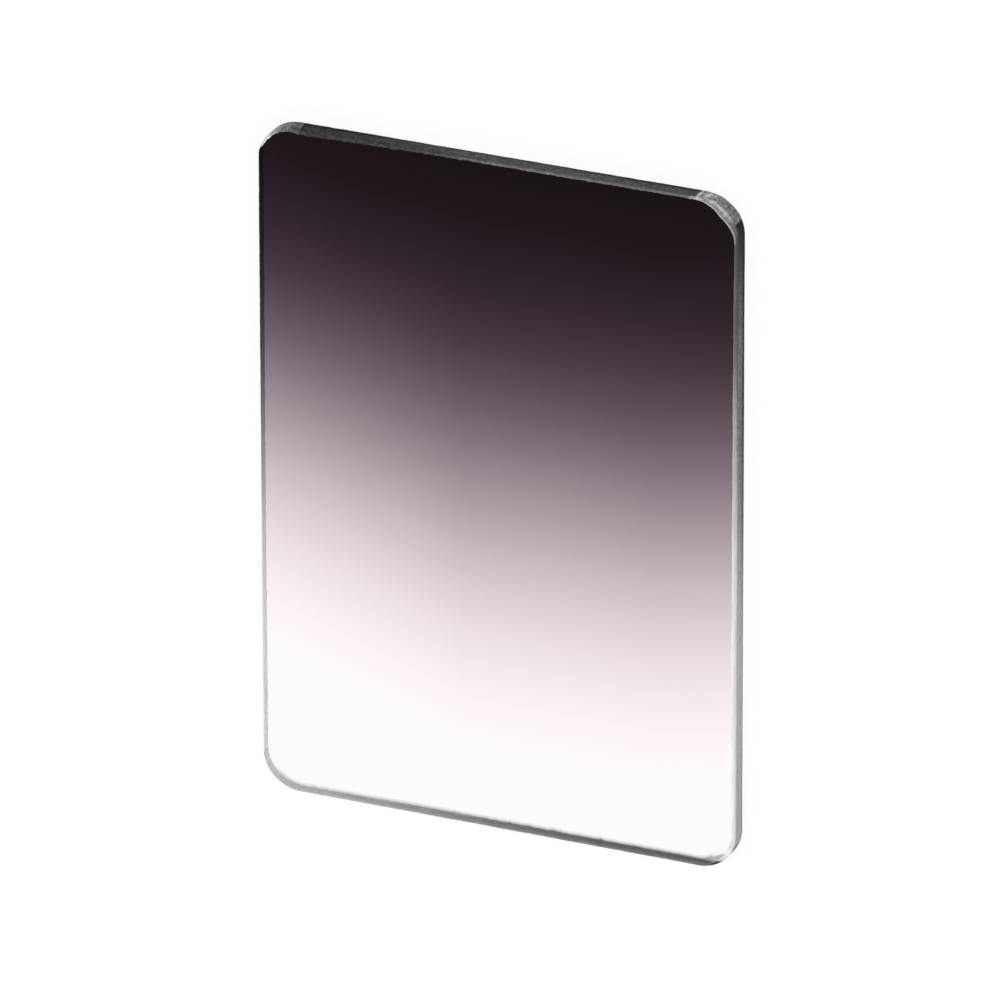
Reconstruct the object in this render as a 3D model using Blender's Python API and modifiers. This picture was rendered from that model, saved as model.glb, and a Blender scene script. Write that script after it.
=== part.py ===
# Graduated neutral density filter: one plate of optical glass for a filter tray or holder.
#
# The plate lies flat on its clear back face, with the coated front face up.
# X runs across its width and Y along its length, towards the dark end.
# The origin is the middle of the back face. All sizes are in metres.

import math

import bpy

# Sizes of the glass blank
PLATE_WIDTH = 0.1016
PLATE_LENGTH = 0.1435
PLATE_THICKNESS = 0.004

# The corners are ground to a quarter circle
CORNER_RADIUS = 0.008
CORNER_STEPS = 24

# Both rims are ground to a chamfer at 45 degrees, which takes this much off the face and off the edge
EDGE_CHAMFER = 0.0006

# Points closer together than this are one point, where the outline's caps meet its wall
WELD_DISTANCE = 0.000001

# A rim is an edge whose two faces meet at more than this angle
RIM_ANGLE = math.radians(60)

# Faces that meet at less than this angle are one round surface
SMOOTH_ANGLE = math.radians(20)

# The glass as it looks where the film is half way from dark to clear
GLASS_COLOUR = (0.330, 0.275, 0.300, 1.0)
GLASS_ROUGHNESS = 0.03
GLASS_IOR = 1.52
GLASS_TRANSMISSION = 0.9


def clear_scene():
    """Remove every object, so that the file holds only the filter."""
    for ob in list(bpy.data.objects):
        bpy.data.objects.remove(ob, do_unlink=True)


def new_collection(name):
    """A collection in the scene, to hold the filter's parts."""
    collection = bpy.data.collections.new(name)
    bpy.context.scene.collection.children.link(collection)
    return collection


def optical_glass():
    """Clear glass under a neutral density film."""
    mat = bpy.data.materials.new("optical_glass")
    mat.use_nodes = True
    bsdf = mat.node_tree.nodes["Principled BSDF"]
    bsdf.inputs["Base Color"].default_value = GLASS_COLOUR
    bsdf.inputs["Roughness"].default_value = GLASS_ROUGHNESS
    bsdf.inputs["IOR"].default_value = GLASS_IOR
    bsdf.inputs["Transmission Weight"].default_value = GLASS_TRANSMISSION
    mat.diffuse_color = GLASS_COLOUR
    return mat


def rounded_rectangle(width, length, radius, steps):
    """Points round a rectangle whose corners are quarter circles, anticlockwise from the right side.

    Each corner's centre lies one radius in from both of its sides, and its arc has steps + 1 points.
    """
    half_x = width / 2 - radius
    half_y = length / 2 - radius
    centres = [(half_x, half_y), (-half_x, half_y), (-half_x, -half_y), (half_x, -half_y)]
    points = []
    for corner, (centre_x, centre_y) in enumerate(centres):
        for step in range(steps + 1):
            angle = (corner + step / steps) * math.pi / 2
            points.append((centre_x + radius * math.cos(angle), centre_y + radius * math.sin(angle)))
    return points


def flat_slab(name, points, thickness, collection):
    """A slab with the given outline, standing on z = 0."""
    curve = bpy.data.curves.new(name, "CURVE")
    curve.dimensions = "2D"
    curve.fill_mode = "BOTH"
    curve.extrude = thickness / 2
    spline = curve.splines.new("POLY")
    spline.points.add(len(points) - 1)
    for point, (x, y) in zip(spline.points, points):
        point.co = (x, y, 0, 1)
    spline.use_cyclic_u = True
    slab = bpy.data.objects.new(name, curve)
    slab.location.z = thickness / 2
    collection.objects.link(slab)
    return slab


def weld_caps(ob):
    """Join the slab's two faces to its edge wall."""
    weld = ob.modifiers.new("weld", "WELD")
    weld.merge_threshold = WELD_DISTANCE


def chamfer_rims(ob, size):
    """Cut a flat chamfer of the given size along both rims, and leave the corner arcs round."""
    bevel = ob.modifiers.new("rim_chamfer", "BEVEL")
    bevel.width = size
    bevel.segments = 1
    bevel.limit_method = "ANGLE"
    bevel.angle_limit = RIM_ANGLE
    bevel.use_clamp_overlap = False


def as_mesh(ob, name, collection):
    """A mesh object of the shape that ob's modifiers give, with round arcs and crisp rims, in ob's place."""
    evaluated = ob.evaluated_get(bpy.context.evaluated_depsgraph_get())
    mesh = bpy.data.meshes.new_from_object(evaluated)
    mesh.name = name
    mesh.shade_smooth()
    mesh.set_sharp_from_angle(angle=SMOOTH_ANGLE)
    result = bpy.data.objects.new(name, mesh)
    result.matrix_world = ob.matrix_world.copy()
    collection.objects.link(result)
    bpy.data.objects.remove(ob, do_unlink=True)
    return result


def filter_plate(collection):
    """The glass plate: a rounded slab with a chamfer on both rims."""
    outline = rounded_rectangle(PLATE_WIDTH, PLATE_LENGTH, CORNER_RADIUS, CORNER_STEPS)
    slab = flat_slab("plate_outline", outline, PLATE_THICKNESS, collection)
    weld_caps(slab)
    chamfer_rims(slab, EDGE_CHAMFER)
    bpy.context.view_layer.update()
    plate = as_mesh(slab, "filter_plate", collection)
    plate.data.materials.append(optical_glass())
    return plate


clear_scene()
filter_plate(new_collection("graduated_nd_filter"))
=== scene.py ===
# A graduated neutral density filter: one plate of optical glass for a filter tray or holder.
#
# It lies flat on its clear back face, with the coated front face up, its dark end towards +Y and its right
# side towards +X. The origin is the middle of the back face. All sizes are in metres.

import bpy
import numpy as np
from mathutils import Matrix


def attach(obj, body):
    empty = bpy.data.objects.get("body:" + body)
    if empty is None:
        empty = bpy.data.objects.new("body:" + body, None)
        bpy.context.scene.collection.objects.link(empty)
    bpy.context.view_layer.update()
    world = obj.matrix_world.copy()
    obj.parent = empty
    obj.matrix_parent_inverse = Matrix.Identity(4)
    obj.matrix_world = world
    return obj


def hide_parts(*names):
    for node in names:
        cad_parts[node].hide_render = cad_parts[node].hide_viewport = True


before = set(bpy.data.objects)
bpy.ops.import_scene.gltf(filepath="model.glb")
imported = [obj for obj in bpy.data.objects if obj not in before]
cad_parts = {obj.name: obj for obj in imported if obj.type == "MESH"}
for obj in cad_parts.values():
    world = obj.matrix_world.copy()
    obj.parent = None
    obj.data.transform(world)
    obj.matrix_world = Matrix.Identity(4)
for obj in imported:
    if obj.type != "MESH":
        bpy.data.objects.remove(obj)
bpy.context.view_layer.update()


# The blank is optical glass, sawn from a polished sheet 4 mm thick. A diamond wheel grinds its corners to
# quarter circles and both its rims to a 0.6 mm chamfer, side by side and then corner by corner. So the
# chamfers wander in width, have small nicks, and are uneven round the corners.
PLATE_WIDTH = 0.1016
PLATE_LENGTH = 0.1435
PLATE_THICKNESS = 0.004
CORNER_RADIUS = 0.008
CHAMFER = 0.0006
# The rim between two ground faces is worn to a narrow flat
ARRIS = 0.00005
# Width of the strip of polished face next to the rim
FACE_MARGIN = 0.00095
# Distance between two points of the rim, close enough to show its nicks
RIM_STEP = 0.00025

# How far the middles of the corner arcs lie from the plate's middle, and the length of an arc
half_x = PLATE_WIDTH / 2 - CORNER_RADIUS
half_y = PLATE_LENGTH / 2 - CORNER_RADIUS
quarter = CORNER_RADIUS * np.pi / 2
# The rim's eight stretches, anticlockwise from above: right side, corner, dark end, corner, left side,
# corner, clear end and corner, and the arc lengths at which they end
stretch_lengths = [2 * half_y, quarter, 2 * half_x, quarter, 2 * half_y, quarter, 2 * half_x, quarter]
stretch_ends = np.cumsum([0] + stretch_lengths)
PERIMETER = stretch_ends[-1]
# The arc lengths at which the four corners start and end. A corner is named for its end and its side.
corner_starts = stretch_ends[1::2]
corner_ends = stretch_ends[2::2]
dark_right_start = corner_starts[0]
dark_right_end = corner_ends[0]
dark_left_start = corner_starts[1]
clear_right_start = corner_starts[3]


def rim_samples(step):
    """Arc lengths round the rim, a step apart or just under, with a sample on the end of every stretch."""
    samples = []
    for start, end in zip(stretch_ends[:-1], stretch_ends[1:]):
        count = int(np.ceil((end - start) / step))
        samples.append(np.linspace(start, end, count, endpoint=False))
    return np.concatenate(samples)


along = rim_samples(RIM_STEP)
sample_count = len(along)


def normal_angle(lengths):
    """The angle of the outward normal: still along a side, and turning by 90 degrees round a corner."""
    return np.interp(lengths, stretch_ends, np.array([0, 0, 1, 1, 2, 2, 3, 3, 4]) * np.pi / 2)


def rim_points(lengths, inset):
    """Points of the rim at the given arc lengths, moved in from the outline by inset.

    A point is a corner centre plus (corner radius - inset) along the outward normal. Along a side the
    centre slides and the normal stands still, and round a corner the centre stands still and the normal
    turns.
    """
    angle = normal_angle(lengths)
    centre_x = np.interp(lengths, stretch_ends, np.array([1, 1, 1, -1, -1, -1, -1, 1, 1]) * half_x)
    centre_y = np.interp(lengths, stretch_ends, np.array([-1, 1, 1, 1, 1, -1, -1, -1, -1]) * half_y)
    reach = CORNER_RADIUS - inset
    return centre_x + reach * np.cos(angle), centre_y + reach * np.sin(angle)


# How far each sample lies towards the right side and towards the clear end, in shares of width and length
edge_x, edge_y = rim_points(along, 0)
to_right = edge_x / PLATE_WIDTH
to_clear = -edge_y / PLATE_LENGTH


def side_shares():
    """How much each sample belongs to the right side, dark end, left side and clear end.

    A share is the clipped cosine of the angle between the sample's normal and that side's, cubed so that it
    changes half way round a corner, and together the four are 1.
    """
    angle = normal_angle(along)
    shares = np.stack([np.clip(np.cos(angle - side * np.pi / 2), 0, 1) for side in range(4)]) ** 3
    return shares / shares.sum(axis=0)


right_share, dark_end_share, left_share, clear_end_share = side_shares()


def blend_sides(on_right, on_dark_end, on_left, on_clear_end):
    """The value of each side, weighted by how much each sample belongs to it."""
    others = right_share * on_right + dark_end_share * on_dark_end + left_share * on_left
    return others + clear_end_share * on_clear_end


# An S curve is flat this many spreads below its middle, and its power is nearly too large a number
FLAT_FROM = 700


def rising(value, middle, spread):
    """An S curve that rises from 0 to 1, half way at middle: 1 / (1 + e ** ((middle - value) / spread))."""
    return 1 / (1 + np.exp(np.minimum((middle - value) / spread, FLAT_FROM)))


def falling(value, middle, spread):
    """The same S curve, falling from 1 to 0."""
    return rising(-value, -middle, spread)


def bell(middle, spread):
    """A bell curve of arc length, 1 at middle."""
    return np.exp(-((along - middle) / spread) ** 2)


# How many sine waves make an uneven line
WAVE_COUNT = 40


def wander(shortest, longest, seed):
    """An uneven line that closes on itself round the rim, with a spread of 1.

    It is a sum of sine waves, each with a whole number of turns round the rim and a seeded phase, and the
    long waves are the strongest.
    """
    rng = np.random.default_rng(seed)
    turns = rng.integers(int(PERIMETER / longest), int(PERIMETER / shortest) + 1, WAVE_COUNT)
    phases = rng.uniform(0, 2 * np.pi, WAVE_COUNT)
    strengths = 1 / np.sqrt(turns)
    waves = np.sin(2 * np.pi * turns * along[:, None] / PERIMETER + phases)
    return waves @ strengths / np.sqrt((strengths ** 2).sum() / 2)


def nicks(count, width, seed):
    """Chips along the rim, 0 where there is none and up to 1 at the deepest.

    Each is a bell curve of arc length, of seeded place, width and depth, and the deepest of them counts.
    """
    rng = np.random.default_rng(seed)
    places = rng.uniform(0, PERIMETER, count)
    widths = width * rng.uniform(0.4, 1.6, count)
    depths = rng.uniform(0.1, 1, count) ** 2
    away = np.abs(along[:, None] - places)
    away = np.minimum(away, PERIMETER - away)
    return (depths * np.exp(-(away / widths) ** 2)).max(axis=1)


# How far a chamfer's rim strays slowly and quickly, and how deep and wide its nicks are
SLOW_WANDER = 0.00003
QUICK_WANDER = 0.00002
NICK_DEPTH = 0.00012
NICK_WIDTH = 0.0003
# Nicks all round a rim beside a polished face, and all round one beside the edge
FACE_NICKS = 260
EDGE_NICKS = 200
# The share of the quick wander and the nicks that the right side has, where the wheel ran more evenly
QUICK_ON_RIGHT = 0.25


def uneven_width(width, count, seed):
    """A chamfer's width with a slow wander, a quick wander and a number of nicks."""
    slow = SLOW_WANDER * wander(0.004, 0.12, seed)
    quick = QUICK_WANDER * wander(0.0008, 0.004, seed + 1) + NICK_DEPTH * nicks(count, NICK_WIDTH, seed + 2)
    return width + slow + quick * blend_sides(QUICK_ON_RIGHT, 1.0, 1.0, 1.0)


def front_reach():
    """How far the front chamfer reaches into the face, as a multiple of its nominal size.

    It is by far the widest round the corner between the right side and the dark end, wide along the left
    part of the dark end, and narrow round the next corner: S curves along a side, and bell curves round a
    corner.
    """
    on_right = 1.28 + 0.22 * rising(to_clear, -0.10, 0.04) - 0.25 * falling(to_clear, -0.39, 0.02)
    on_dark_end = 0.95 + 0.50 * falling(to_right, -0.20, 0.04) + 0.40 * falling(to_right, -0.34, 0.015)
    reach = blend_sides(on_right, on_dark_end, 0.80, 1.0)
    reach += 1.80 * bell(dark_right_start + 0.0063, 0.0040) + 0.22 * bell(dark_right_start + 0.0103, 0.0015)
    reach += 0.15 * bell(dark_right_start + 0.0024, 0.0010)
    reach -= 0.84 * bell(dark_left_start + 0.0034, 0.0030) + 0.20 * bell(dark_left_start + 0.0070, 0.0009)
    reach -= 0.60 * bell(dark_left_start + 0.0103, 0.0013)
    return reach


def back_reach():
    """The same for the back chamfer: narrow at the left, and wide round the clear end's right corner."""
    on_clear_end = 0.90 - 0.40 * falling(to_right, -0.24, 0.05) + 0.04 * rising(to_right, 0.18, 0.04)
    return blend_sides(0.5, 1.0, 0.25, on_clear_end) + 1.10 * bell(clear_right_start + 0.0040, 0.0025)


# How far each chamfer reaches into its face and along the edge
front_width = front_reach()
front_in = uneven_width(CHAMFER * front_width, FACE_NICKS, 1)
front_down = uneven_width(CHAMFER * blend_sides(0.65, 1.0, 1.0, 1.0), EDGE_NICKS, 5)
back_in = uneven_width(CHAMFER * back_reach(), FACE_NICKS, 9)
back_up = uneven_width(CHAMFER * blend_sides(0.5, 1.0, 0.50, 0.60), EDGE_NICKS, 13)
# Shares of the way across each ground face at which its rings lie. They are closest on the front chamfer,
# which is seen best.
FRONT_SHARES = (0.04, 0.14, 0.26, 0.42, 0.60, 0.78, 0.94)
EDGE_SHARES = np.linspace(0.02, 0.98, 10)
BACK_SHARES = np.linspace(0.07, 0.93, 5)


def rim_rings():
    """The rings of the rim from the front face to the back face: (inset, height, where) for each.

    The section is a straight line across each ground face, cut short by a narrow flat at every rim, so a
    ring is a fixed share of the way along one of those lines. where counts 0 for the front face, 1 to 2
    across the front chamfer, 2 to 3 down the edge, 3 to 4 across the back chamfer and 4 to 5 for the back
    face.
    """
    top = PLATE_THICKNESS
    zero = np.zeros_like(along)
    rings = [(front_in + FACE_MARGIN, zero + top, 0.0), (front_in + ARRIS, zero + top, 0.0)]
    for share in FRONT_SHARES:
        rings.append((front_in * (1 - share), top - front_down * share, 1 + share))
    for share in EDGE_SHARES:
        height = (top - front_down) * (1 - share) + back_up * share
        rings.append((zero, height, 2 + share))
    for share in BACK_SHARES:
        rings.append((back_in * share, back_up * (1 - share), 3 + share))
    rings += [(back_in + ARRIS, zero, 4.0), (back_in + FACE_MARGIN, zero, 5.0)]
    return rings


ring_insets, ring_heights, ring_places = zip(*rim_rings())
ring_count = len(ring_places)


# Ground glass is frosted, and glows with the light that the film lets into the plate. That glow is painted
# light: each edge's tone is painted light grey at the clear end and nearly black at the dark end, and its
# chamfer lightest beside the face, and only a part of it comes through the frost as real light. The wheel
# leaves the corners at the dark end mottled, with a bright seam where it starts or stops.
def on_front(where):
    """1 as far as the front chamfer's outer rim, and 0 on the edge and behind it."""
    return falling(where, 2.0, 0.02)


# 1 in the quarter of the rim round each corner, and 0 elsewhere
in_dark_right = ((to_right > 0) & (to_clear < 0)).astype(float)
in_dark_left = ((to_right < 0) & (to_clear < 0)).astype(float)
in_clear_left = ((to_right < 0) & (to_clear > 0)).astype(float)
in_clear_right = ((to_right > 0) & (to_clear > 0)).astype(float)


def stretch(start, end, blend):
    """1 from start to end round the rim and 0 outside, changing over blend metres at either end."""
    return np.clip((along - start) / blend + 0.5, 0, 1) * np.clip((end - along) / blend + 0.5, 0, 1)


def between(where, stops):
    """The tone at where, on straight lines between stops, which are pairs of where and tone."""
    places = np.array([place for place, tone in stops])
    tones = [tone for place, tone in stops]
    last = int(np.clip(np.searchsorted(places, where), 1, len(places) - 1))
    share = np.clip((where - places[last - 1]) / (places[last] - places[last - 1]), 0, 1)
    return tones[last - 1] * (1 - share) + tones[last] * share


def right_side_tone(where):
    """How light the right side is from outside, from 0 to 1: S curves of the place along it.

    Its edge has painted shade along its foot, next to the table, and is darker where the wheel turned into
    the dark end's corner. Its chamfer gets lighter towards the face.
    """
    edge = 0.04 + 0.10 * rising(to_clear, -0.35, 0.03) + 0.27 * rising(to_clear, 0.0, 0.06)
    edge -= 0.05 * rising(to_clear, 0.33, 0.04)
    edge -= 0.01 * falling(to_clear, -0.425, 0.012)
    # Painted shade along the foot of the edge, next to the table
    shaded_foot = edge * (0.35 + 0.25 * rising(to_clear, -0.15, 0.05) + 0.30 * rising(to_clear, 0.07, 0.05))
    coarse = rising(to_clear, -0.235, 0.02)
    clear_half = 0.41 * rising(to_clear, -0.03, 0.07)
    dark = 0.04 * falling(to_clear, -0.40, 0.02)
    tone = between(where, [
        (1.15, 0.13 + 0.21 * coarse + 0.54 * rising(to_clear, -0.02, 0.065) - dark),
        (1.50, 0.11 + 0.22 * coarse + clear_half - dark),
        (1.75, 0.07 + 0.205 * coarse + clear_half - dark / 2),
        (1.95, 0.07 + 0.48 * rising(to_clear, -0.10, 0.06)),
        (2.10, edge * 0.95),
        (2.45, edge * 1.05),
        (2.75, shaded_foot),
    ])
    before_wheel = in_dark_right * rising(along, dark_right_start - 0.0022, 0.0010)
    return tone * (1 - 0.46 * before_wheel * rising(where, 1.95, 0.03))


def dark_end_tone(where):
    """How light the dark end is: painted light on its chamfer's right half, and its edge nearly black."""
    edge = 0.018 + 0.045 * rising(to_right, -0.22, 0.06) - 0.008 * rising(to_right, 0.25, 0.03)
    # Painted shade along the foot of the edge, next to the table
    shaded_foot = edge * (0.30 + 0.60 * rising(to_right, -0.27, 0.03) * falling(to_right, 0.18, 0.04))
    # Painted light on the right half of the chamfer
    painted_light_right = rising(to_right, -0.08, 0.04)
    return between(where, [
        (1.35, 0.055 + 0.108 * painted_light_right),
        (1.62, 0.045 + 0.055 * painted_light_right),
        (1.90, 0.045 + 0.030 * painted_light_right - 0.020 * rising(to_right, 0.3, 0.03)),
        (2.55, edge),
        (2.80, shaded_foot),
    ])


def left_side_tone(where):
    """How light the left side is: an S curve for its chamfer and another for its edge."""
    return between(where, [
        (2.00, 0.01 + 0.70 * rising(to_clear, 0.024, 0.072)),
        (2.05, 0.04 + 0.56 * rising(to_clear, 0.02, 0.08)),
    ])


def clear_end_tone(where):
    """How light the clear end is: painted shade towards the right, and a lighter back chamfer at its far
    right.
    """
    # Painted shade: the clear end's edge is darker towards the right and paler towards the left
    unshaded_left = falling(to_right, -0.10, 0.13)
    far = rising(to_right, 0.35, 0.04)
    return between(where, [
        (2.00, 0.20 + 0.36 * falling(to_right, -0.18, 0.13)),
        (2.15, 0.40 + 0.05 * unshaded_left),
        (2.40, 0.25 + 0.18 * unshaded_left),
        (2.60, 0.23 + 0.16 * unshaded_left + 0.06 * far),
        (2.95, 0.23 + 0.16 * unshaded_left + 0.03 * far),
        (3.10, 0.14 + 0.22 * unshaded_left - 0.05 * far),
        (3.50, 0.14 + 0.22 * unshaded_left - 0.02 * far),
        (3.85, 0.14 + 0.22 * unshaded_left + 0.20 * far),
    ])


def side_tone(where):
    """How light each side is from outside, blended round the corners."""
    dark_end = dark_end_tone(where)
    clear_end = clear_end_tone(where)
    return blend_sides(right_side_tone(where), dark_end, left_side_tone(where), clear_end)


def share_through(where):
    """The share of light that the frost lets through, from 0 to 1: S curves of the place along the side.

    The back chamfer has a clearer patch round the corner between the clear end and the right side.
    """
    on_left = 0.04 + 0.48 * rising(to_clear, -0.05, 0.09)
    on_right = on_left * (1 - 0.7 * on_front(where))
    on_clear_end = 0.06 + 0.43 * falling(to_right, -0.27, 0.20)
    on_clear_end = on_clear_end * (1 - 0.6 * on_front(where) * in_clear_right)
    patch_start = clear_right_start + 0.0030 - 0.0020 * (where - 3)
    patch = rising(where, 3.0, 0.02) * stretch(patch_start, clear_right_start + 0.007, 0.0020)
    patch = patch * (0.32 + 0.14 * (where - 3) - 0.22 * rising(along, clear_right_start + 0.0048, 0.0006))
    return blend_sides(on_right, 0.04, on_left, on_clear_end) + patch


# The white that shows behind the frost at the dark end, and how much more shows at the clear end
INSIDE_LEAST = 0.15
INSIDE_MORE = 0.33


def light_inside():
    """How bright the inside of the plate is behind the frost: an S curve of the place along the plate."""
    return INSIDE_LEAST + INSIDE_MORE * rising(to_clear, -0.03, 0.10)


# The wheel took the dark end's two corners and the clear end's left one by themselves. These are the places
# where it started and stopped, measured from the ends of each arc, and how bright the three starts and the
# three stops are.
WHEEL_ON = np.array([0.0034, -0.0008, 0.0005])
WHEEL_OFF = np.array([0.0006, -0.0029, 0.0])
SEAM_LIGHT = np.array([0.06, 0.06, 0.0, 0.48, 0.0, 0.0])
SEAM_SPREAD = 0.00022
# How far before its seam a dark line lies, and its spread
DARK_LINE_AHEAD = 0.0007
DARK_LINE_SPREAD = 0.00030

wheel_starts = corner_starts[:3] + WHEEL_ON
wheel_stops = corner_ends[:3] + WHEEL_OFF


def seam_tone(where):
    """Light lines where the wheel started and stopped, each with a dark one before it on the edge.

    They are bell curves of arc length. The brightest has a faint second line on the edge, further ahead.
    """
    away = along[:, None] - np.concatenate([wheel_starts, wheel_stops])
    edge = rising(where, 1.9, 0.03)
    light_line = np.exp(-(away / SEAM_SPREAD) ** 2) @ SEAM_LIGHT
    dark_line = np.exp(-((away + DARK_LINE_AHEAD) / DARK_LINE_SPREAD) ** 2) @ SEAM_LIGHT * edge
    second_line = bell(wheel_stops[0] - 0.0018, 0.0005) * edge
    return light_line * (0.65 + 0.30 * edge) - 0.20 * dark_line + 0.08 * second_line


def corner_tone(where):
    """How light the three corners are from outside that the wheel went round on its own.

    The first one gets lighter part of the way round, its chamfer sooner than its edge. The second one gets
    lighter all the way round, its chamfer most. The third is even.
    """
    on_dark_right = 0.13 + 0.09 * stretch(dark_right_start + 0.0046, dark_right_end + 0.002, 0.002)
    edge = 0.145 + 0.12 * rising(along, dark_right_start + 0.0095, 0.001)
    on_dark_right += (edge - on_dark_right) * rising(where, 1.95, 0.03)
    way_round = np.clip((along - dark_left_start) / quarter, 0, 1)
    chamfer = falling(where, 1.8, 0.1)
    on_dark_left = 0.070 + 0.015 * chamfer + 0.32 * way_round
    on_dark_left += 0.14 * rising(along, dark_left_start + 0.0044, 0.0004) * chamfer
    on_dark_left += 0.035 * rising(where, 1.7, 0.1) * falling(where, 2.6, 0.1)
    on_clear_left = 0.47 - 0.05 * rising(where, 2.0, 0.1)
    return in_dark_right * on_dark_right + in_dark_left * on_dark_left + in_clear_left * on_clear_left


def painted_glint_tone(where):
    """Painted highlights on the corners' chamfers, standing in for glints of the lamp.

    One is a light band along the outer half of the widest chamfer. The other is a white line along the
    narrowest.
    """
    uneven = where + 0.03 * wander(0.0012, 0.006, 51)
    band = rising(uneven, 1.50, 0.02) * falling(uneven, 1.93, 0.02)
    band = band * stretch(dark_right_start + 0.0040, dark_right_end - 0.0008, 0.0015)
    band = band * (0.14 + 0.08 * bell(dark_right_start + 0.0078, 0.0020))
    line = stretch(dark_left_start + 0.0062, dark_left_start + 0.0090, 0.0010) * on_front(where)
    speckled = 1 + 0.10 * wander(0.0005, 0.0015, 53)
    return band + line * (0.08 + 0.36 * falling(where, 1.62, 0.03)) * speckled


def last_corner_tone(where):
    """How light the clear end's right corner is, and how much of that each sample takes.

    Its front chamfer is dark as far as half way round, and light from there but for its outer rim. Near the
    arc's end the edge has a dark wedge.
    """
    half_way = clear_right_start + 0.0047 + 0.0010 * (where - 1)
    dark = stretch(clear_right_start - 0.001, half_way, 0.0006) * on_front(where)
    light = stretch(half_way, PERIMETER, 0.0006) * falling(along, PERIMETER - 0.0022, 0.0006)
    light = light * on_front(where)
    wedge = stretch(clear_right_start + 0.0070, clear_right_start + 0.0095, 0.001) * (1 - on_front(where))
    dark_tone = 0.16 - 0.13 * rising(along, clear_right_start + 0.0030, 0.0006)
    rim = rising(where, 1.80, 0.05) * falling(along, clear_right_start + 0.0070, 0.0003)
    light_tone = 0.42 + 0.26 * rising(along, clear_right_start + 0.0052, 0.0004) - 0.26 * rim
    light_tone += 0.16 * bell(clear_right_start + 0.0082, 0.0010)
    return dark_tone * dark + light_tone * light + 0.11 * wedge, dark + light + wedge


# How much light the studio gives the chamfers, and how much less the upright edge gets
CHAMFER_LIGHT = 1.07
EDGE_LOSS = 0.15


def ground_tones(where):
    """What one ring sends back, and the share of light that it lets through, from 0 to 1.

    The eye sees both. So what the ring sends back is what it should show, painted light and shade included,
    less what comes through, as a share of the light that falls on it.
    """
    # Each ring has its own seed
    seed = 20 + int(where * 10)
    streaks = 0.04 * wander(0.002, 0.02, seed) + 0.03 * wander(0.0006, 0.002, seed + 60)
    streaks = 1 + streaks * (1 - 0.7 * right_share * on_front(where))
    scored = 1 + 0.15 * wander(0.0005, 0.0015, 181) + 0.12 * wander(0.0006, 0.003, seed + 120)
    round_corner = sum(stretch(start, stop, 0.0002) for start, stop in zip(wheel_starts, wheel_stops))
    look_with_painted_light = side_tone(where) * (1 - round_corner) * streaks + round_corner * corner_tone(where) * scored
    # The dark end's right corner gets lighter just before the wheel starts
    early = stretch(dark_right_start + 0.0012, dark_right_start + 0.0040, 0.0014) * on_front(where)
    # Painted highlights on two corners' chamfers are added here
    look_with_painted_light += 0.05 * early * (1 - round_corner) + painted_glint_tone(where)
    tone, counts = last_corner_tone(where)
    look_with_painted_light = look_with_painted_light * (1 - counts) + tone
    # Beside the face, the widest chamfer has a lighter lip of nearly even width
    lip_width = 0.45 + 0.20 * rising(along, dark_right_end - 0.0010, 0.0004)
    lip = falling(where, 1 + lip_width / front_width, 0.02)
    lip = lip * stretch(dark_right_start - 0.0007, dark_right_end + 0.0022, 0.0006)
    lip_tone = 0.24 + 0.14 * rising(along, dark_right_start + 0.0012, 0.0004)
    look_with_painted_light = look_with_painted_light * (1 - lip) + lip_tone * lip + seam_tone(where)
    # The frost is denser round the dark end's left corner
    through = share_through(where) * (1 - 0.8 * round_corner * in_dark_left) * streaks
    light = CHAMFER_LIGHT - EDGE_LOSS * rising(where, 2.0, 0.02) * falling(where, 3.0, 0.02)
    sent_back = (look_with_painted_light - through * light_inside()) / (1 - through) / light
    return np.clip(sent_back, 0.01, 0.98), np.clip(through, 0.01, 0.9)


def grain_strength(where):
    """How uneven the ground glass is: most at the dark end, least on the left and near the clear end."""
    on_right = (0.10 + 0.90 * falling(to_clear, -0.08, 0.03)) * (1 - 0.7 * on_front(where))
    return blend_sides(on_right, 1.5 - 0.7 * in_dark_right * on_front(where), 0.15, 0.30)


def clearness_with_painted_shadow(where):
    """How much light a polished face lets through, squared, because the shader takes its colour's root.

    It is 1, but less beside the rim of the back face at the clear end, a painted shadow of the edge on the
    table seen through the glass. It ends at the corner with the right side.
    """
    painted_shadow = 0.88 - 0.50 * falling(to_right, -0.27, 0.20)
    painted_shadow = painted_shadow * (1 - 0.9 * stretch(clear_right_start + 0.0027, PERIMETER, 0.0012))
    return (1 - painted_shadow * clear_end_share * (where == 4.0)) ** 2


def ring_grid(values):
    """One row of values for each ring, as one long array."""
    return np.concatenate([np.broadcast_to(row, sample_count) for row in values])


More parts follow.
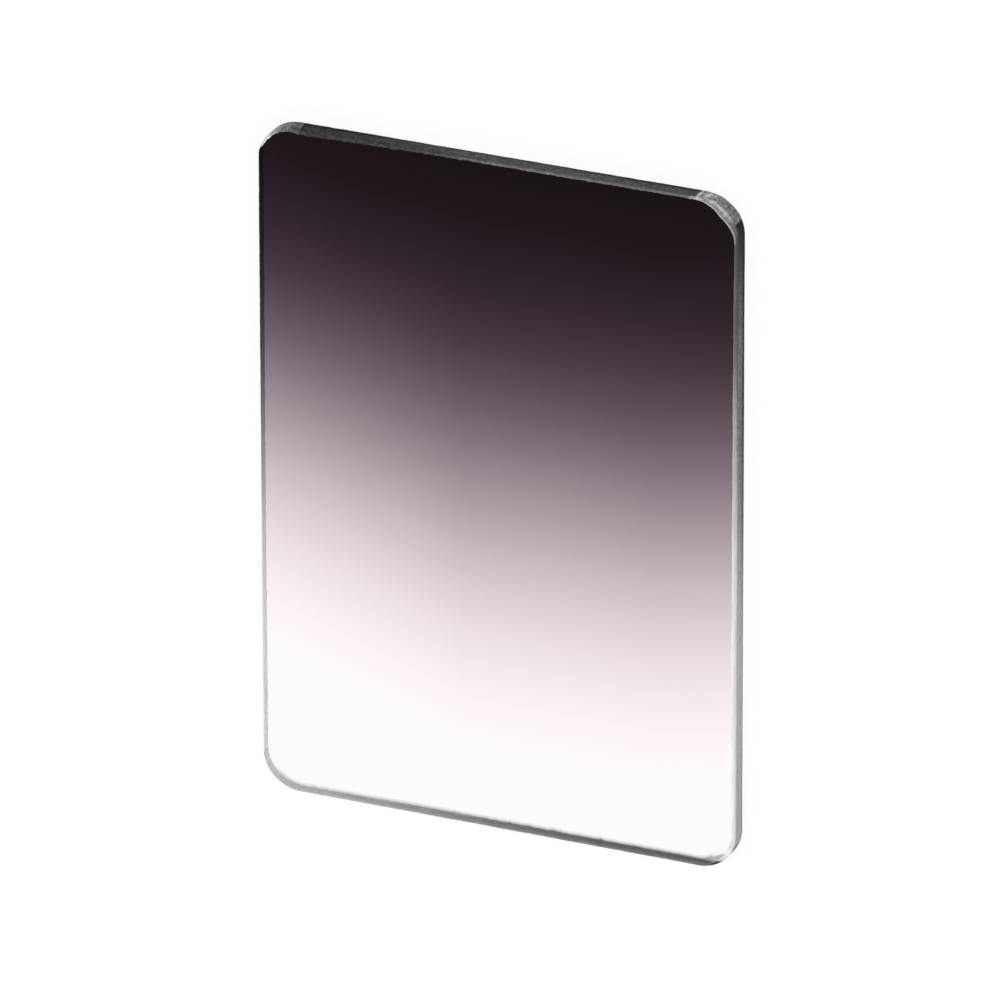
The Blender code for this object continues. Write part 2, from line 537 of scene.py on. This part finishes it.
def plate_mesh(name):
    """The plate's surface: the rim's rings joined by quads, and one flat face on each side.

    Sample i of ring k is vertex k * samples + i, and the quad between two rings turns anticlockwise seen
    from outside. The last quad of a ring ends on its first sample, so the surface is closed.
    """
    height = ring_grid(ring_heights)
    x, y = rim_points(np.tile(along, ring_count), ring_grid(ring_insets))
    vertices = np.stack([x, y, height], axis=1)
    here = np.arange(sample_count)
    ahead = np.roll(here, -1)
    upper = (np.arange(ring_count - 1) * sample_count)[:, None]
    lower = upper + sample_count
    quads = np.stack([upper + ahead, upper + here, lower + here, lower + ahead], axis=-1).reshape(-1, 4)
    back = (ring_count - 1) * sample_count + here[::-1]
    mesh = bpy.data.meshes.new(name)
    mesh.from_pydata(vertices.tolist(), [], quads.tolist() + [here.tolist(), back.tolist()])
    sent_back, through = zip(*[ground_tones(where) for where in ring_places])
    attributes = {
        "sent_back": sent_back,
        "let_through": through,
        "grain": [grain_strength(where) for where in ring_places],
        "clearness": [clearness_with_painted_shadow(where) for where in ring_places],
    }
    for attribute, values in attributes.items():
        layer = mesh.attributes.new(attribute, "FLOAT", "POINT")
        layer.data.foreach_set("value", ring_grid(values).astype(np.float32))
    # The rim's own map, in metres: round the rim, and up the edge
    ahead_length = np.append(along[1:], PERIMETER)
    loops_along = np.stack([ahead_length, along, along, ahead_length], axis=-1)
    loops_along = np.broadcast_to(loops_along, (ring_count - 1, sample_count, 4)).reshape(-1)
    rim_map = np.stack([loops_along, height[quads.reshape(-1)]], axis=-1)
    faces_map = np.concatenate([vertices[here, :2], vertices[back, :2]])
    layer = mesh.uv_layers.new(name="rim")
    layer.data.foreach_set("uv", np.concatenate([rim_map, faces_map]).reshape(-1).astype(np.float32))
    # Material 0 is the polished glass of the two faces, and 1 the ground glass between them
    ground = np.repeat([0] + [1] * (ring_count - 3) + [0], sample_count)
    slots = np.concatenate([ground, [0, 0]])
    mesh.polygons.foreach_set("material_index", slots.astype(np.int32))
    mesh.polygons.foreach_set("use_smooth", slots.astype(bool))
    mesh.update()
    return mesh


plate = bpy.data.objects.new("graduated_filter_plate", plate_mesh("graduated_filter_plate"))
bpy.context.scene.collection.objects.link(plate)


# The film is metal, evaporated on to the front face through a moving mask, so its optical density runs up
# the plate in an S curve. The mask's edge is level over most of the width and bends towards the dark end at
# the left side. Over the film lies a coating that takes away nearly all reflection.
def linear(hex_colour):
    """A linear RGBA colour from an sRGB hex value such as "ff8000"."""
    coded = np.array([int(hex_colour[i:i + 2], 16) for i in (0, 2, 4)]) / 255
    plain = np.where(coded <= 0.04045, coded / 12.92, ((coded + 0.055) / 1.055) ** 2.4)
    return (*plain, 1.0)


def add_node(tree, kind, inputs=None, **settings):
    """Add a node with its settings. Each of inputs is a socket's value, or the output that feeds it."""
    node = tree.nodes.new(kind)
    for name, value in settings.items():
        setattr(node, name, value)
    for socket, value in (inputs or {}).items():
        if isinstance(value, bpy.types.NodeSocket):
            tree.links.new(value, node.inputs[socket])
        else:
            node.inputs[socket].default_value = value
    return node


def new_material(name):
    """An empty material and its node tree."""
    material = bpy.data.materials.new(name)
    material.use_nodes = True
    material.node_tree.nodes.clear()
    return material, material.node_tree


# The density that the S curve rises to
FILM_DENSITY = 3.02
# Where the S curve is half way, from the middle towards the dark end, and its spread: shares of the length
FILM_MIDDLE = 0.242
FILM_SPREAD = 0.165
# The bend of the mask's edge: where it starts, in shares of the width from the middle, and how far it goes
# at the side, in shares of the length. Half way up the plate it is 1.05 times that, and it is more towards
# the clear end and less towards the dark end.
LEFT_BEND_START = -0.07
LEFT_BEND = 0.080
RIGHT_BEND_START = 0.33
RIGHT_BEND = 0.018
BEND_HALF_WAY_UP = 1.05
# The evaporated metal is never quite even: clouds 25 mm across, of 1% of its density
CLOUD_SIZE = 0.025
CLOUD_STRENGTH = 0.01
# The film lets 10 ** (start - share * density) of each colour through, and at most its top value. Red's
# share is the smallest, so the film's greys are faintly rosy. The order is share, start, top.
FILM_TINT = {"Red": (0.8835, 0.079, 0.985), "Green": (1.0, 0.0506, 0.960), "Blue": (0.908, 0.0489, 0.972)}
# Typical of crown glass
GLASS_IOR = 1.52
# The coating leaves about 1% of bare glass's reflection
COATED_REFLECTION = linear("181818")
# Nearly all of a noise texture's values lie between these
NOISE_LOW = 0.3
NOISE_HIGH = 0.7


def film_glass():
    """Clear optical glass under its neutral density film: a smooth grey that darkens up the plate.

    The density is FILM_DENSITY / (1 + e ** ((middle - level) / spread)), where level is the share of the
    length less the bend. The shader takes the root of its colour where light goes in and again where it
    comes out, so both polished faces hold the film's colour and the eye sees it once.
    """
    material, tree = new_material("film_coated_optical_glass")
    place = add_node(tree, "ShaderNodeTexCoord").outputs["Object"]
    axes = add_node(tree, "ShaderNodeSeparateXYZ", {0: place})
    share_x = {0: axes.outputs["X"], 1: 1 / PLATE_WIDTH}
    share_x = add_node(tree, "ShaderNodeMath", share_x, operation="MULTIPLY")
    share_y = {0: axes.outputs["Y"], 1: 1 / PLATE_LENGTH}
    share_y = add_node(tree, "ShaderNodeMath", share_y, operation="MULTIPLY")
    left_bend = {0: share_x.outputs[0], 1: LEFT_BEND_START, 2: -0.5, 3: 0, 4: LEFT_BEND}
    left_bend = add_node(tree, "ShaderNodeMapRange", left_bend)
    right_bend = {0: share_x.outputs[0], 1: RIGHT_BEND_START, 2: 0.5, 3: 0, 4: RIGHT_BEND}
    right_bend = add_node(tree, "ShaderNodeMapRange", right_bend)
    bend = {0: left_bend.outputs[0], 1: right_bend.outputs[0]}
    bend = add_node(tree, "ShaderNodeMath", bend, operation="ADD")
    growing = {0: share_y.outputs[0], 1: -1.0, 2: BEND_HALF_WAY_UP}
    growing = add_node(tree, "ShaderNodeMath", growing, operation="MULTIPLY_ADD")
    bend = {0: bend.outputs[0], 1: growing.outputs[0]}
    bend = add_node(tree, "ShaderNodeMath", bend, operation="MULTIPLY")
    level = {0: share_y.outputs[0], 1: bend.outputs[0]}
    level = add_node(tree, "ShaderNodeMath", level, operation="SUBTRACT")
    slope = {0: level.outputs[0], 1: -1 / FILM_SPREAD, 2: FILM_MIDDLE / FILM_SPREAD}
    slope = add_node(tree, "ShaderNodeMath", slope, operation="MULTIPLY_ADD")
    growth = add_node(tree, "ShaderNodeMath", {0: slope.outputs[0]}, operation="EXPONENT")
    below = add_node(tree, "ShaderNodeMath", {0: growth.outputs[0], 1: 1.0}, operation="ADD")
    density = add_node(tree, "ShaderNodeMath", {0: FILM_DENSITY, 1: below.outputs[0]}, operation="DIVIDE")
    clouds = add_node(tree, "ShaderNodeTexNoise", {"Vector": place, "Scale": 1 / CLOUD_SIZE, "Detail": 1.0})
    contrast = {1: NOISE_LOW, 2: NOISE_HIGH, 3: 1 - CLOUD_STRENGTH, 4: 1 + CLOUD_STRENGTH}
    uneven = add_node(tree, "ShaderNodeMapRange", {0: clouds.outputs[0], **contrast})
    density = {0: density.outputs[0], 1: uneven.outputs[0]}
    density = add_node(tree, "ShaderNodeMath", density, operation="MULTIPLY")
    colour = add_node(tree, "ShaderNodeCombineColor")
    for channel, (share, start, top) in FILM_TINT.items():
        power = {0: density.outputs[0], 1: -share, 2: start}
        power = add_node(tree, "ShaderNodeMath", power, operation="MULTIPLY_ADD")
        passed = add_node(tree, "ShaderNodeMath", {0: 10.0, 1: power.outputs[0]}, operation="POWER")
        passed = add_node(tree, "ShaderNodeMath", {0: passed.outputs[0], 1: top}, operation="MINIMUM")
        tree.links.new(passed.outputs[0], colour.inputs[channel])
    # The clearness holds a painted shadow beside the back face's rim at the clear end
    clearness = add_node(tree, "ShaderNodeAttribute", attribute_name="clearness")
    colour = {0: colour.outputs[0], "Scale": clearness.outputs["Fac"]}
    colour = add_node(tree, "ShaderNodeVectorMath", colour, operation="SCALE")
    glass = add_node(tree, "ShaderNodeBsdfPrincipled", {
        "Base Color": colour.outputs[0],
        "Roughness": 0.0,
        "IOR": GLASS_IOR,
        "Transmission Weight": 1.0,
        "Specular Tint": COATED_REFLECTION,
    })
    add_node(tree, "ShaderNodeOutputMaterial", {"Surface": glass.outputs[0]})
    return material


# Ground glass is clear glass with a surface of tiny pits, so it scatters light and looks like frost. The
# wheel's grit is about 0.05 mm. It is drawn as grains of 0.3 mm and lumps of 0.8 mm, as fine as the render
# shows, with faint streaks along the edge, 7 mm long and a third of a millimetre wide.
GRAIN = 0.0003
LUMP = 0.0008
GRAIN_DEPTH = 0.00005
GRAIN_CONTRAST = 0.25
# Streaks for each metre of the rim and of the edge's height
STREAKS_ALONG = 150
STREAKS_UP = 3000
STREAK_CONTRAST = 0.10


def ground_glass():
    """The frosted chamfers and edge, in the tone that each point of the mesh carries.

    Frost sends part of the light back and lets part through. Both shares are multiplied by
    streaks + strength * (grains + lumps).
    """
    material, tree = new_material("ground_optical_glass")
    place = add_node(tree, "ShaderNodeTexCoord").outputs["Object"]
    # The tone that each ring sends back holds the edges' painted light and shade
    sent_back = add_node(tree, "ShaderNodeAttribute", attribute_name="sent_back")
    through = add_node(tree, "ShaderNodeAttribute", attribute_name="let_through")
    strength = add_node(tree, "ShaderNodeAttribute", attribute_name="grain")
    rim_map = add_node(tree, "ShaderNodeUVMap", uv_map="rim")
    grains = add_node(tree, "ShaderNodeTexNoise", {"Vector": place, "Scale": 1 / GRAIN, "Detail": 2.0})
    lumps = add_node(tree, "ShaderNodeTexNoise", {"Vector": place, "Scale": 1 / LUMP, "Detail": 1.0})
    drawn = {"Vector": rim_map.outputs[0], "Scale": (STREAKS_ALONG, STREAKS_UP, 1)}
    drawn = add_node(tree, "ShaderNodeMapping", drawn)
    drawn = add_node(tree, "ShaderNodeTexNoise", {"Vector": drawn.outputs[0], "Scale": 1.0, "Detail": 2.0})
    contrast = {1: NOISE_LOW, 2: NOISE_HIGH, 3: -GRAIN_CONTRAST, 4: GRAIN_CONTRAST}
    fine = add_node(tree, "ShaderNodeMapRange", {0: grains.outputs[0], **contrast})
    coarse = add_node(tree, "ShaderNodeMapRange", {0: lumps.outputs[0], **contrast})
    both = add_node(tree, "ShaderNodeMath", {0: fine.outputs[0], 1: coarse.outputs[0]}, operation="ADD")
    contrast = {1: NOISE_LOW, 2: NOISE_HIGH, 3: 1 - STREAK_CONTRAST, 4: 1 + STREAK_CONTRAST}
    streaks = add_node(tree, "ShaderNodeMapRange", {0: drawn.outputs[0], **contrast})
    uneven = {0: both.outputs[0], 1: strength.outputs["Fac"], 2: streaks.outputs[0]}
    uneven = add_node(tree, "ShaderNodeMath", uneven, operation="MULTIPLY_ADD")
    shade = {0: sent_back.outputs["Fac"], 1: uneven.outputs[0]}
    shade = add_node(tree, "ShaderNodeMath", shade, operation="MULTIPLY").outputs[0]
    grey = add_node(tree, "ShaderNodeCombineColor", {0: shade, 1: shade, 2: shade}).outputs[0]
    passing = {0: through.outputs["Fac"], 1: uneven.outputs[0]}
    passing = add_node(tree, "ShaderNodeMath", passing, operation="MULTIPLY", use_clamp=True)
    relief = {"Height": grains.outputs[0], "Strength": 0.3, "Distance": GRAIN_DEPTH}
    relief = add_node(tree, "ShaderNodeBump", relief)
    # The pits leave hardly any shine
    frost = add_node(tree, "ShaderNodeBsdfPrincipled", {
        "Base Color": grey,
        "Roughness": 0.55,
        "IOR": GLASS_IOR,
        "Specular IOR Level": 0.05,
        "Normal": relief.outputs[0],
    })
    passed = {"Color": linear("ffffff"), "Normal": relief.outputs[0]}
    passed = add_node(tree, "ShaderNodeBsdfTranslucent", passed)
    look = {0: passing.outputs[0], 1: frost.outputs[0], 2: passed.outputs[0]}
    look = add_node(tree, "ShaderNodeMixShader", look)
    add_node(tree, "ShaderNodeOutputMaterial", {"Surface": look.outputs[0]})
    return material


plate.data.materials.append(film_glass())
plate.data.materials.append(ground_glass())
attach(plate, "root")
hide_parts("filter_plate")


# The studio is a white table under an even white dome, with one large soft lamp above it. Glass shows the
# table and the dome as plain white, and a ray through the plate meets that white too, so the film's colour
# shows as it is.
FLOOR_SIZE = 40.0
# Just under the plate, so that the two surfaces don't meet
FLOOR_DROP = 0.0002
# How much of the table's picture is plain white. The rest shows the plate's shadow.
PLAIN_WHITE = 0.93
DOME_STRENGTH = 1.0
LAMP_PLACE = (0.9, -0.5, 1.8)
LAMP_SIZE = 1.6
LAMP_POWER = 6.0


def studio_floor():
    """A large white floor that keeps the plate's shadow.

    Light that comes through the glass sees it plain white. The camera sees it nearly so, with a little of
    the lit card, on which the shadow lies.
    """
    half = FLOOR_SIZE / 2
    corners = [(-half, -half), (half, -half), (half, half), (-half, half)]
    mesh = bpy.data.meshes.new("floor")
    mesh.from_pydata([(x, y, -FLOOR_DROP) for x, y in corners], [], [(0, 1, 2, 3)])
    floor = bpy.data.objects.new("floor", mesh)
    bpy.context.scene.collection.objects.link(floor)
    material, tree = new_material("white_table")
    ray = add_node(tree, "ShaderNodeLightPath")
    card = add_node(tree, "ShaderNodeBsdfDiffuse", {"Color": linear("fbfbfb")})
    white = add_node(tree, "ShaderNodeEmission", {"Strength": 1.0})
    share = {0: ray.outputs["Is Camera Ray"], 1: PLAIN_WHITE, 2: ray.outputs["Is Transmission Ray"]}
    share = add_node(tree, "ShaderNodeMath", share, operation="MULTIPLY_ADD")
    look = {0: share.outputs[0], 1: card.outputs[0], 2: white.outputs[0]}
    look = add_node(tree, "ShaderNodeMixShader", look)
    add_node(tree, "ShaderNodeOutputMaterial", {"Surface": look.outputs[0]})
    mesh.materials.append(material)


def white_dome():
    """An even world at full white, which is seen through the glass and in it, and lights the plate."""
    world = bpy.data.worlds.new("white_dome")
    world.use_nodes = True
    tree = world.node_tree
    tree.nodes.clear()
    white = add_node(tree, "ShaderNodeBackground", {"Color": linear("ffffff"), "Strength": DOME_STRENGTH})
    add_node(tree, "ShaderNodeOutputWorld", {"Surface": white.outputs[0]})
    bpy.context.scene.world = world


def soft_lamp(name, place, size, power):
    """A square soft box at place, aimed at the plate."""
    data = bpy.data.lights.new(name, "AREA")
    data.size = size
    data.energy = power
    lamp = bpy.data.objects.new(name, data)
    lamp.location = place
    lamp.rotation_euler = lamp.location.to_track_quat("Z", "Y").to_euler()
    bpy.context.scene.collection.objects.link(lamp)


studio_floor()
white_dome()
soft_lamp("soft_box", LAMP_PLACE, LAMP_SIZE, LAMP_POWER)


# The photograph looks down on the coated face from its right and its dark end, from far off with a long
# lens. These values were matched to the plate's outline in the picture.
CAMERA_AZIMUTH = np.radians(23.41)
CAMERA_ELEVATION = np.radians(24.59)
CAMERA_ROLL = np.radians(-0.137)
CAMERA_DISTANCE = 3.2
# Picture widths per metre at the plate's middle, and how far that middle lies from the picture's
PICTURE_SCALE = 5.1063
AIM_RIGHT = -0.000143
AIM_UP = -0.000942
SENSOR_WIDTH_MM = 36


def photograph_camera():
    """The camera, placed by its angles to the plate's right side (x), dark end (y) and front face (z).

    It starts level, with back towards the eye, and then rolls about the line of sight.
    """
    towards_x = np.sin(CAMERA_AZIMUTH)
    towards_z = np.cos(CAMERA_AZIMUTH)
    flat = np.cos(CAMERA_ELEVATION)
    back = np.array([towards_x * flat, np.sin(CAMERA_ELEVATION), towards_z * flat])
    level = np.array([towards_z, 0, -towards_x])
    rise = np.cross(back, level)
    picture_right = np.cos(CAMERA_ROLL) * level + np.sin(CAMERA_ROLL) * rise
    picture_up = np.cos(CAMERA_ROLL) * rise - np.sin(CAMERA_ROLL) * level
    middle = np.array([0, 0, PLATE_THICKNESS / 2])
    place = middle + AIM_RIGHT * picture_right + AIM_UP * picture_up + CAMERA_DISTANCE * back
    data = bpy.data.cameras.new("camera")
    data.sensor_width = SENSOR_WIDTH_MM
    data.lens = PICTURE_SCALE * CAMERA_DISTANCE * data.sensor_width
    camera = bpy.data.objects.new("camera", data)
    columns = np.stack([picture_right, picture_up, back, place], axis=1)
    camera.matrix_world = Matrix(np.vstack([columns, [0, 0, 0, 1]]).tolist())
    bpy.context.scene.collection.objects.link(camera)
    bpy.context.scene.camera = camera


photograph_camera()
bpy.context.scene.view_settings.view_transform = "Standard"
